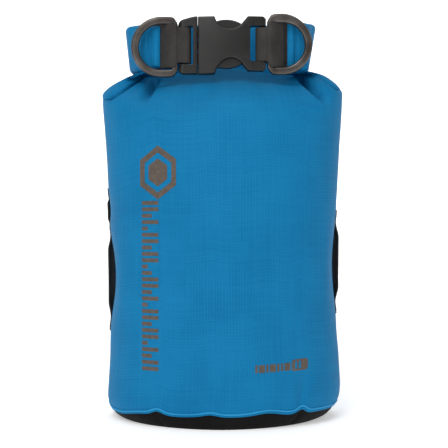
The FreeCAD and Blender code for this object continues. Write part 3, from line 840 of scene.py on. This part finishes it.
def slanted_cell(x0, x1, z0, z1, slant=0.0):
    """A filled parallelogram whose right end is raised by slant."""
    rows = int((z1 - z0) / INK_STEP) + 2
    columns = int((x1 - x0) / INK_STEP) + 2
    return np.array([[(x0 + (x1 - x0) * s, z0 + (z1 - z0) * t + slant * s)
                      for s in np.linspace(0, 1, columns)] for t in np.linspace(0, 1, rows)])


def hexagon(x, z, half_width, half_height):
    """Points round an upright hexagon."""
    corners = [(0, 1), (1, 0.48), (1, -0.48), (0, -1), (-1, -0.48), (-1, 0.48), (0, 1)]
    points = []
    for (x0, z0), (x1, z1) in zip(corners, corners[1:]):
        for t in np.linspace(0, 1, 9, endpoint=False):
            points.append((x + half_width * (x0 + (x1 - x0) * t),
                           z + half_height * (z0 + (z1 - z0) * t)))
    points.append(points[0])
    return np.array(points)


def hexagon_cells(x, z, half_width, half_height):
    """A plain hexagon: a broad outline round a solid middle."""
    cells = []
    for outer, inner in ((1.0, 0.74), (0.52, 0.0)):
        rings = [hexagon(x, z, half_width * t, half_height * t)
                 for t in np.linspace(outer, inner + 0.001, 8)]
        cells.append(np.stack(rings, axis=1))
    return cells


def build_prints(tree):
    """Generic marks in the places of the real ones: a hexagon, a column of bars and a badge."""
    decal("print_hexagon", tree, hexagon_cells(-35.3, 140.0, 10.1, 14.8))
    bars = []
    top = 124.4
    left, right = -44.3, -35.0
    for reach in (1, 1, 0.6, 1, 0.35, 1, 1, 0.6, 1, 1, 0.35, 0.6, 1, 1, 0.6, 1, 0.35, 1, 1, 0.6,
                  1, 1, 0.35, 1, 0.6, 1, 1):
        bars.append(slanted_cell(left, left + (right - left) * reach, top - BAR_HEIGHT, top))
        top -= BAR_PITCH
    decal("print_bars", tree, bars)
    dashes = []
    x0 = 17.8
    for width in (1.3, 3.2, 1.3, 3.2, 1.3, 1.3, 3.2):
        rise = 0.045 * (x0 - 17.8)
        dashes.append(slanted_cell(x0, x0 + width, 31.0 + rise, 35.2 + rise, 0.1))
        x0 += width + DASH_GAP
    decal("print_dashes", tree, dashes)
    decal("print_badge", tree, badge_cells(38.0, 47.2, 31.2, 37.4, 1.3))


def badge_cells(x0, x1, z0, z1, radius):
    """A small rounded plate with two upright windows left clear in it."""
    cells = []
    for start, end in ((0.0, 0.20), (0.33, 0.44), (0.57, 1.0)):
        cell = np.zeros((9, 7, 2))
        for column, s in enumerate(np.linspace(start, end, 7)):
            x = x0 + (x1 - x0) * s
            inset = max(0.0, radius - min(x - x0, x1 - x))
            trim = radius - math.sqrt(max(0.0, radius ** 2 - inset ** 2))
            for row, t in enumerate(np.linspace(0, 1, 9)):
                cell[row, column] = (x, z0 + trim + (z1 - z0 - 2 * trim) * t + 0.06 * (x - x0))
        cells.append(cell)
    rim = 0.16 * (z1 - z0)
    for low in (z0, z1 - rim):
        cells.append(slanted_cell(x0 + 1.2, x1 - 1.2, low, low + rim, 0.5))
    return cells


# --- Rolled closure -----------------------------------------------------------------------
def roll_shift(x, y, z, side):
    """The roll leans outward at its top, and sits a little to the left at its sides."""
    beside = smoothstep((y + 20.0) / 8.0)
    taper, narrow = ROLL_LEAN[side]
    lean = 1 + (taper * (z - ROLL_MIDDLE) / ROLL_HEIGHT - narrow) * beside
    return x * lean - 1.4 * beside * smoothstep(abs(x) / 30.0)


def roll_top(y, side):
    """The roll stands higher at the back than at its two ends in front."""
    front = ROLL_DROP[side]
    return ROLL_TOP + np.interp(y, [-24.0, -2.0, 12.0], [front, front + 2.6, 2.8])


def roll_band(side, profile, end_angle, low, drop, radius, seed):
    """A band of rolled fabric from the back centre to an arm's end, rounded off there. The
    profile gives the half thickness by the distance still to go."""
    points, normals, total = closure_line(end_angle, 120)
    sign = SIDES[side]
    span = np.linspace(0, total, 120)
    tail = np.array([0.0, 0.35, 0.8, 1.4, 2.2, 3.2])
    along = np.concatenate([span[span < total - 3.4], total - tail[::-1]])
    points = look_up(along, span, points)
    normals = look_up(along, span, normals)
    togo = total - along
    half = np.interp(togo, *np.transpose(profile))
    half = half * np.sqrt(np.maximum(0.03, 1 - (1 - np.minimum(togo / TIP_ROUND, 1)) ** 2))
    rows = []
    for station in range(len(along)):
        high = roll_top(points[station, 1], side) - drop
        thick = half[station]
        section = rounded_section(2 * thick, high - low, min(radius, 0.8 * thick), 7)
        middle = (low + high) / 2
        ring = []
        for offset, level in section:
            x = sign * (points[station, 0] + normals[station, 0] * offset)
            y = points[station, 1] + normals[station, 1] * offset
            z = middle + level
            place = (x, y, z)
            wobble = (0.40 * soft_noise(place, 24.0, seed)
                      + 0.16 * soft_noise(place, 8.0, seed + 2)) * min(1.0, station / 6.0)
            wobble += 0.32 * soft_noise((x, y, 0.2 * z), 5.5, seed + 4)
            ring.append((roll_shift(x, y, z, side) + sign * normals[station, 0] * wobble,
                         y + normals[station, 1] * wobble, z + 0.4 * wobble))
        rows.append(ring)
    grid = np.array(rows)
    uvs = np.array([(s, t) for s in along for t in travel(grid[0])]) * MM
    return grid.reshape(-1, 3), tube_faces(*grid.shape[:2]), uvs


def build_roll(side):
    """Half of the rolled mouth: an outer wrap, the folded core that shows at its end, and an
    inner wrap."""
    outer = roll_band(side, [(0.0, 4.3), (3.0, ROLL_HALF_THICKNESS)], OUTER_WRAP_END,
                      ROLL_BOTTOM - 0.2, 0.0, 3.0, seed=11.0 + SIDES[side])
    core = roll_band(side, [(0.0, 3.9), (2.8, 4.1), (4.2, 3.2), (6.0, 3.0)], CORE_END[side],
                     ROLL_BOTTOM + 0.4, 0.7, 2.4, seed=21.0 + SIDES[side])
    inner = roll_band(side, [(0.0, 3.6), (4.0, 3.6)], OUTER_WRAP_END + 3.2,
                      ROLL_BOTTOM + 0.2, 0.4, 2.6, seed=31.0 + SIDES[side])
    points, faces, uvs = join_parts([outer, core, inner])
    piece = make_piece("roll_fabric_" + side, points, faces, None, BLUE, uvs)
    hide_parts("roll_" + side)
    blend_to_arm(piece)


# --- Straps and rings ---------------------------------------------------------------------
def joint_place(name):
    return np.array(JOINTS[name]["pos_m"]) / MM


def strap_loop_path(side):
    """Plan line of the strap's middle: out of the roll, round the crossbar, and back."""
    sign = SIDES[side]
    bar = joint_place("plug_swivel" if side == "left" else "socket_swivel")
    ring = joint_place("ring_%s_swing" % side)
    points, _, _ = closure_line(INNER_WRAP_END, 200)
    end = points[-1]
    before = points[-30]
    crossbar = np.array([abs(bar[0]), bar[1]])
    ring_bar = np.array([abs(ring[0]), ring[1]])
    front = [before + (0, -PLY_OFFSET), end + (0, -PLY_OFFSET),
             (end + ring_bar) / 2 + (1.2, -1.0), ring_bar + (0.4, -2.8),
             ring_bar + (-1.6, -2.62), crossbar + (0.6, -FOLD_OFFSET)]
    back = [crossbar + (0.6, FOLD_OFFSET), ring_bar + (-1.6, 2.62), ring_bar + (0.4, 2.8),
            (end + ring_bar) / 2 + (1.2, 1.7), end + (0, PLY_OFFSET), before + (0, PLY_OFFSET)]
    fold = [crossbar + (0.6 - FOLD_REACH[side] * math.cos(turn), FOLD_OFFSET * math.sin(turn))
            for turn in np.radians((-60, -30, 0, 30, 60))]
    flat = smooth_curve(front + fold + back, 170)
    return np.column_stack([sign * flat[:, 0], flat[:, 1], np.full(len(flat), CLOSURE_Z)])


def build_strap(side):
    """Doubled strap: full width at the roll, narrower where it passes the buckle's slot."""
    path = strap_loop_path(side)
    ring_x = abs(joint_place("ring_%s_swing" % side)[0])
    narrow, wide, raised = STRAP_WIDTHS[side]
    growth = smoothstep((np.abs(path[:, 0]) - ring_x + 2.6) / 3.2)
    widths = narrow + (wide - narrow) * growth
    path[:, 2] += raised
    section = [(u / STRAP_WIDTH, v)
               for u, v in rounded_section(STRAP_WIDTH, STRAP_THICKNESS, 0.45, steps=3)]
    scale = [(width, 1.0) for width in widths]
    points, faces = sweep(path, (0, 0, 1), section, scale=scale)
    piece = make_piece("strap_webbing_" + side, points, faces, side + "_wing", STRAP)
    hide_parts("strap_" + side)
    return piece


def d_path(bar_x, half_height, reach, corner):
    """Centre line of a D-ring in its own plane, as (x, height)."""
    bow_x = reach - half_height
    turn_x = bar_x + corner
    turn_z = half_height - corner
    top = [(x, half_height) for x in np.linspace(turn_x, bow_x, 6)[1:-1]]
    return np.array(arc(bow_x, 0.0, half_height, 90, -90, 48)
                    + [(x, -z) for x, z in reversed(top)]
                    + arc(turn_x, -turn_z, corner, 270, 180, 9)
                    + [(bar_x, z) for z in np.linspace(-turn_z, turn_z, 10)[1:-1]]
                    + arc(turn_x, turn_z, corner, 180, 90, 9) + top)


def ring_section(stock, depth):
    """Flat stock with broad softened chamfers, as (across the plane, through the depth)."""
    half = stock / 2
    deep = depth / 2
    quarter = [(half, 0.45 * deep), (half - 0.25, 0.72 * deep), (half - 0.75, deep - 0.07),
               (half - 1.05, deep)]
    upper = quarter + [(-u, v) for u, v in reversed(quarter)]
    return upper + [(-u, -v) for u, v in upper]


def build_ring(side):
    """A D-ring of flat stock, standing in the plane of the closure's front."""
    low, high = box_mm("d_ring_" + side)
    sign = SIDES[side]
    reach = max(abs(low[0]), abs(high[0])) + RING_REACH[side]
    bar = abs(joint_place("ring_%s_swing" % side)[0])
    half_height = (high[2] - low[2] - RING_CAD_STOCK) / 2
    centre_z = (low[2] + high[2]) / 2 + RING_HANG[side]
    centre_y = (low[1] + high[1]) / 2
    line = d_path(bar, half_height, reach - RING_CAD_STOCK / 2, RING_CORNER)
    path = np.column_stack([sign * line[:, 0], np.full(len(line), centre_y),
                            centre_z + line[:, 1]])
    # The straight bar inside the strap is slimmer than the bow.
    slim = np.where(line[:, 0] < bar + 1.0, 0.80, 1.0)
    if side == "right":  # Thicker beside its upper corner.
        slim = slim + 0.20 * bell(line[:, 0], bar + 6.5, 7.0) * (line[:, 1] > 8.0)
    section = [(v, u) for u, v in ring_section(RING_STOCK, high[1] - low[1])]
    points, faces = sweep(path, (0, 1, 0), section, closed_path=True,
                          scale=[(1.0, value) for value in slim])
    piece = make_piece("d_ring_metal_" + side, points, faces, "ring_" + side, METAL)
    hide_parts("d_ring_" + side)


# --- Buckle -------------------------------------------------------------------------------
def settle_plug(points):
    """The plug's frame falls away a little at its outer upper corner."""
    outer = smoothstep((-14.5 - points[:, 0]) / 9.0)
    points[:, 0] -= 0.9 * outer
    points[:, 2] -= 2.0 * outer * smoothstep((points[:, 2] - CLOSURE_Z - 8.5) / 4.0)


def settle_socket(points):
    """The socket's lower edge rises towards the strap."""
    outer = smoothstep((points[:, 0] + 9.0) / 16.0)
    points[:, 2] += 1.8 * outer * smoothstep((CLOSURE_Z - 5.0 - points[:, 2]) / 4.5)


def settle_lower_prong(points):
    points[:, 2] += 1.4 * smoothstep((points[:, 0] + 9.0) / 9.0)


def apply_modifier(piece, kind, **settings):
    """Give a piece the mesh that a modifier makes of it."""
    modifier = piece.modifiers.new(kind.lower(), kind)
    for name, value in settings.items():
        setattr(modifier, name, value)
    graph = bpy.context.evaluated_depsgraph_get()
    mesh = bpy.data.meshes.new_from_object(piece.evaluated_get(graph))
    piece.modifiers.clear()
    piece.data = mesh


def moulded_copy(node, name, body, crown=0.0, bow=0.0, settle=None):
    """A moulded version of a CAD node: crowned faces and small radii on every edge. The bow
    curves the whole front along the buckle's length."""
    piece = new_object(name, frame["nodes"][node].data.copy())
    low, high = box_mm(node)
    middle = (low + high) / 2
    apply_modifier(piece, "REMESH", mode="VOXEL", voxel_size=0.00032)
    apply_modifier(piece, "SMOOTH", factor=0.5, iterations=5)
    mesh = piece.data
    points = np.empty(len(mesh.vertices) * 3)
    mesh.vertices.foreach_get("co", points)
    points = points.reshape(-1, 3) / MM
    along, depth, level = ((points - middle) / ((high - low) / 2)).T
    points[:, 1] -= crown * depth * level ** 2
    points[:, 1] += bow * along ** 2 * np.clip(-depth, 0, 1)
    if settle:
        settle(points)
    mesh.vertices.foreach_set("co", (points * MM).ravel())
    mesh.materials.clear()
    mesh.materials.append(BUCKLE)
    mesh.polygons.foreach_set("use_smooth", [True] * len(mesh.polygons))
    mesh.update()
    piece.data.name = name
    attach(piece, body)
    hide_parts(node)


def build_buckle():
    moulded_copy("buckle_socket", "buckle_socket_shell", "socket", 1.0, 1.7, settle_socket)
    moulded_copy("buckle_plug", "buckle_plug_frame", "plug", 0.5, 0.0, settle_plug)
    moulded_copy("buckle_prong_upper", "buckle_prong_upper_arm", "prong_upper")
    moulded_copy("buckle_prong_lower", "buckle_prong_lower_arm", "prong_lower",
                 settle=settle_lower_prong)


# --- Lash strips --------------------------------------------------------------------------
LASH_LEVELS = {
    "left": [(49.0, 55.0, None), (55.0, 107.0, -0.7), (107.0, 112.0, None),
             (112.0, 127.0, -1.0), (127.0, 133.0, None)],
    "right": [(59.0, 65.0, None), (65.0, 114.0, -0.3), (114.0, 120.0, None)],
}
LASH_THICKNESS = 1.2


def oval_side(side, y, z):
    """A point on the bag's undisturbed side, and its outward normal in plan."""
    table = np.array(OVALS)
    width, depth, setback, drift = look_up(z, table[:, 0], table[:, 1:])[0]
    lean = (y - setback) / depth
    x = width * math.sqrt(max(0.0, 1 - lean ** 2))
    normal = np.array([SIDES[side] * x / width ** 2, (y - setback) / depth ** 2, 0.0])
    return np.array([drift + SIDES[side] * x, y, z]), normal / np.linalg.norm(normal)


def webbing_section(half_width, thickness):
    """A flat strip's section, with points across its faces so that it can bend round."""
    face = np.linspace(half_width - 0.3, 0.3 - half_width, 11)
    outer = [(u, thickness / 2) for u in face]
    inner = [(u, -thickness / 2) for u in reversed(face)]
    edge = 0.2 * thickness
    return (outer + [(-half_width, edge), (-half_width, -edge)]
            + inner + [(half_width, -edge), (half_width, edge)])


def build_lash(side, tree):
    """A strip sewn flat at its tacks and standing off the bag between them."""
    low_box, high_box = box_mm("lash_strip_" + side)
    levels = LASH_LEVELS[side]
    sign = SIDES[side]
    middle_y = (low_box[1] + high_box[1]) / 2
    half_y = (high_box[1] - low_box[1]) / 2
    rows = []
    for z in np.linspace(levels[0][0], levels[-1][1], 130):
        free = 0.0
        stand = 0.0
        for z0, z1, gap in levels:
            if gap is not None and z0 < z < z1:
                free = smoothstep(math.sin(math.pi * (z - z0) / (z1 - z0)) / 0.62)
                stand = gap
        ring = []
        for u, v in webbing_section(half_y, LASH_THICKNESS):
            surface, normal = oval_side(side, middle_y + u, z)
            start = Vector((sign * 0.12, surface[1] * MM, z * MM))
            hit = tree.ray_cast(start, Vector((-sign, 0, 0)))[0]
            held = np.array(hit) / MM + normal * 0.05
            flat, straight = oval_side(side, middle_y, z)
            tangent = np.array([-straight[1], straight[0], 0.0]) * sign
            loose = flat + tangent * u + straight * (stand + 0.3)
            ring.append(held * (1 - free) + loose * free
                        + (normal * (1 - free) + straight * free) * (v + LASH_THICKNESS / 2))
        rows.append(ring)
    grid = np.array(rows)
    piece = make_piece("lash_webbing_" + side, grid.reshape(-1, 3), tube_faces(*grid.shape[:2]),
                       "bag", LASH)
    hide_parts("lash_strip_" + side)
    return piece


def build_bartacks(side, lash):
    """Close zigzag stitching across the strip at each tack."""
    tree = surface_lookup([lash])
    low, high = box_mm("lash_strip_" + side)
    runs = []
    for z0, z1, gap in LASH_LEVELS[side]:
        if gap is None:
            middle = (z0 + z1) / 2
            places = [(0.0, y, middle + (1.2 if index % 2 else -1.2))
                      for index, y in enumerate(np.linspace(low[1] + 1.5, high[1] - 1.5, 36))]
            runs.append((laid_points(tree, places, (-SIDES[side], 0, 0), 0.12), (1, 0, 0)))
    piece = thread_runs("lash_stitching_" + side, runs, 0.24, "bag", DARK_THREAD)
    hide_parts("lash_bartacks_" + side)


def build_strap_bartack(side, strap):
    """The strap's zigzag bartack beside the roll, on its front and back faces."""
    low, high = box_mm("strap_bartack_" + side)
    tree = surface_lookup([strap])
    middle_x = (low[0] + high[0]) / 2
    places = [(middle_x + (0.8 if index % 2 else -0.8), 0.0, z)
              for index, z in enumerate(np.linspace(low[2] + 1, high[2] - 1, 40))]
    runs = [(laid_points(tree, places, (0, way, 0), 0.08), (0, 1, 0)) for way in (1, -1)]
    piece = thread_runs("strap_stitching_" + side, runs, 0.2, side + "_wing", DARK_THREAD)
    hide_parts("strap_bartack_" + side)


# --- Hidden CAD nodes -----------------------------------------------------------------------
def build_tape(node, spread, shift):
    """A welded tape inside the bag, drawn in a little to lie against the fabric."""
    piece = new_object(node + "_film", frame["nodes"][node].data.copy())
    for vertex in piece.data.vertices:
        vertex.co.x *= spread
        vertex.co.y = vertex.co.y * spread + shift * MM
    piece.data.materials.clear()
    piece.data.materials.append(TAPE)
    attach(piece, "bag")
    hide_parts(node)


def dress_hidden_nodes():
    """The pieces inside the bag and the roll keep their CAD shapes."""
    build_tape("base_seam_tape", 0.965, 0.0)
    build_tape("back_seam_tape", 1.0, -1.5)
    for node in ("closure_strip_centre", "closure_strip_left", "closure_strip_right"):
        mesh = frame["nodes"][node].data
        mesh.materials.clear()
        mesh.materials.append(STRIP)


# --- Studio -------------------------------------------------------------------------------
def area_light(name, place, target, size, power):
    light = bpy.data.lights.new(name, "AREA")
    light.shape = "RECTANGLE"
    light.size = size[0]
    light.size_y = size[1]
    light.energy = power
    lamp = new_object(name, light)
    lamp.location = place
    lamp.rotation_euler = (Vector(target) - Vector(place)).to_track_quat("-Z", "Y").to_euler()


def build_floor():
    """A pale sweep: floor that curves up into a backdrop."""
    profile = [(-2.2, 0.0), (1.2, 0.0), (1.6, 0.05), (1.9, 0.22), (2.05, 0.5), (2.1, 1.0),
               (2.1, 3.4)]
    curve = smooth_curve(profile, 60)
    grid = np.array([[(x, y, max(z, 0.0)) for x in (-4.0, 0.0, 4.0)] for y, z in curve]) / MM
    shader = Shader("floor", (0.93, 0.93, 0.93), 0.85, specular=0.1)
    shader.set("Emission Color", (1.0, 1.0, 1.0, 1.0))
    shader.set("Emission Strength", 0.38)
    cloud = shader.noise(3.0, 2.0)
    shader.set("Base Color", shader.ramp(cloud, (0.92, 0.92, 0.92), (0.94, 0.94, 0.94)))
    mesh = bpy.data.meshes.new("floor")
    mesh.from_pydata([tuple(p) for p in grid.reshape(-1, 3) * MM], [], grid_faces(60, 3))
    mesh.materials.append(shader.material)
    new_object("floor", mesh)


def build_studio():
    scene = bpy.context.scene
    scene.view_settings.view_transform = "Standard"
    world = bpy.data.worlds.new("studio")
    scene.world = world
    world.use_nodes = True
    background = world.node_tree.nodes["Background"]
    background.inputs["Color"].default_value = (1.0, 1.0, 1.0, 1.0)
    background.inputs["Strength"].default_value = 0.34
    middle = (0.0, 0.0, 0.12)
    area_light("key", (-0.36, -0.85, 1.08), (0.0, 0.0, 0.18), (0.6, 0.7), 7.1)
    area_light("glint", (-0.62, -1.40, 0.34), (0.0, 0.0, 0.2), (0.25, 0.3), 1.9)
    area_light("fill", (1.1, -0.9, 0.45), middle, (0.8, 1.0), 1.8)
    area_light("top", (0.0, 0.1, 1.3), middle, (0.9, 0.7), 3.0)
    area_light("backdrop", (0.0, 1.1, 1.1), (0.0, 2.1, 0.5), (2.0, 0.8), 10.0)


def build_camera():
    """Level with the middle of the bag, square to its front."""
    pixels_per_mm = 1.7
    frame_pixels = 448.0
    camera = bpy.data.cameras.new("camera")
    camera.sensor_width = 36.0
    camera.lens = camera.sensor_width * -VIEWPOINT[1] * pixels_per_mm / frame_pixels
    eye = new_object("camera", camera)
    eye.location = Vector(VIEWPOINT) * MM
    eye.rotation_euler = (math.pi / 2, 0.0, 0.0)
    bpy.context.scene.camera = eye


# --- The scene ------------------------------------------------------------------------------
def main():
    build_camera()
    build_studio()
    build_floor()
    grid, halves = build_body()
    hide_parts("body_panel")
    tree = surface_lookup(halves.values())
    build_base()
    build_hem(grid)
    build_prints(tree)
    for side in SIDES:
        build_seam_stitches(tree, side)
    for side in SIDES:
        blend_to_arm(halves[side])
        build_roll(side)
        strap = build_strap(side)
        build_strap_bartack(side, strap)
        build_ring(side)
        lash = build_lash(side, tree)
        build_bartacks(side, lash)
    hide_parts("roll_centre")
    build_buckle()
    dress_hidden_nodes()


main()
